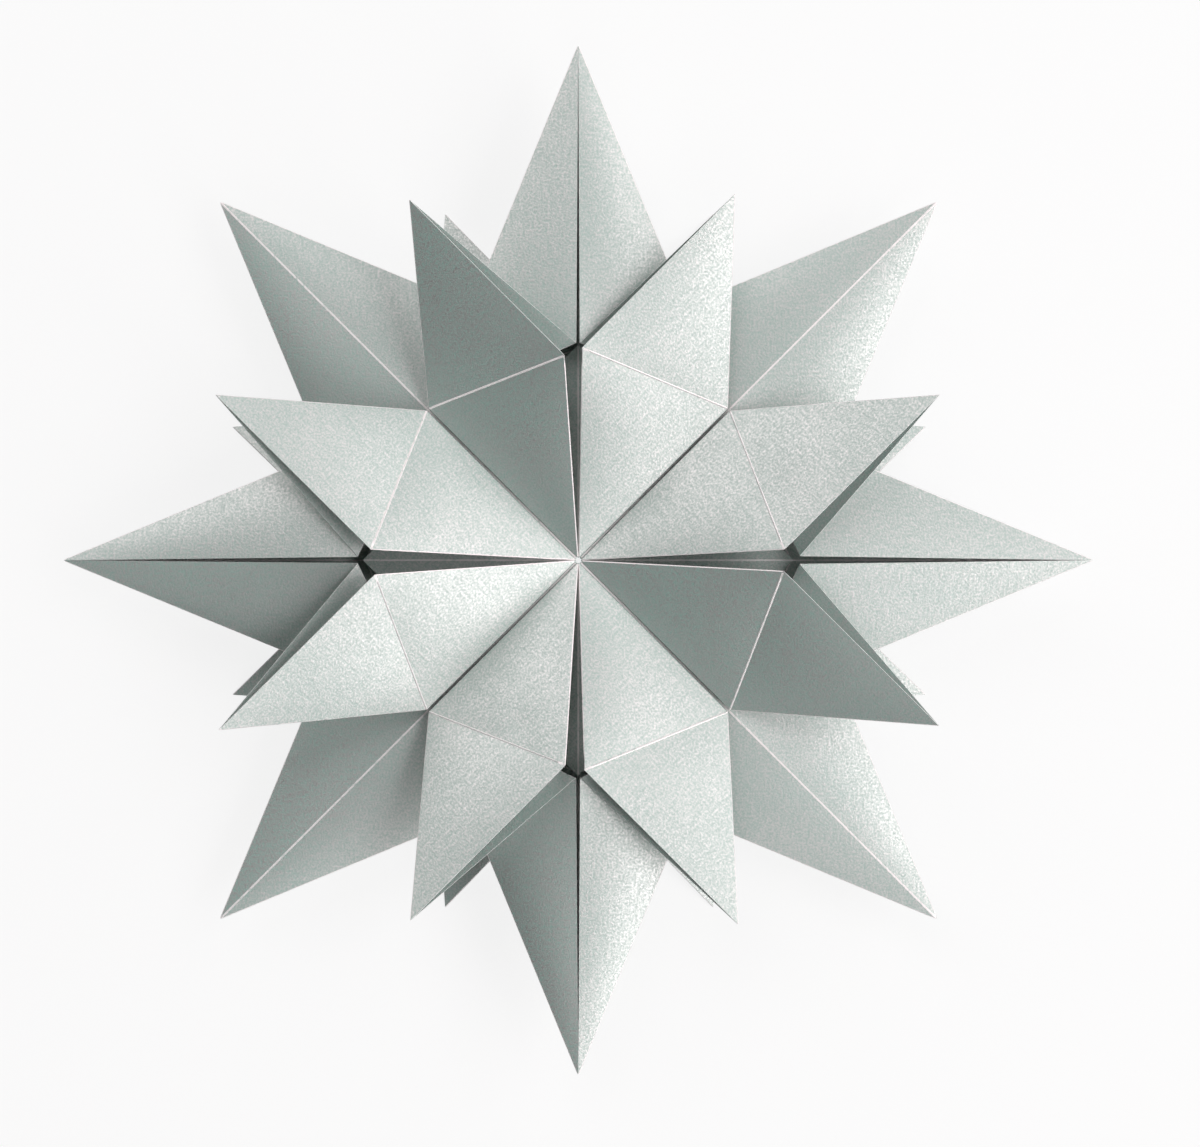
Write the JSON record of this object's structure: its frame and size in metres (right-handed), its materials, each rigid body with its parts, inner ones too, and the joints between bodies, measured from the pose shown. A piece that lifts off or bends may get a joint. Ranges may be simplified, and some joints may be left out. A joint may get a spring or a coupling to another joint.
{
  "type": "origami star",
  "caption": "Folded paper star with long flat points around raised diamond flaps, made of interlocking folded square sheets in pearl silver paper.",
  "frame": {"origin": "centre of the star, on the surface that the tips of the back flaps stand on", "axes": "+Z from the back of the star to its front, +X and +Y along the long points of the front sheets"},
  "size_m": [0.15, 0.15, 0.0249],
  "materials": {
    "pearl_paper": "satin pearl silver with a fine grain"
  },
  "bodies": {
    "root": {"front_sheet_right": "pearl_paper", "front_sheet_top": "pearl_paper", "front_sheet_left": "pearl_paper", "front_sheet_bottom": "pearl_paper", "back_sheet_upper_right": "pearl_paper", "back_sheet_upper_left": "pearl_paper", "back_sheet_lower_left": "pearl_paper", "back_sheet_lower_right": "pearl_paper"}
  },
  "joints": []
}
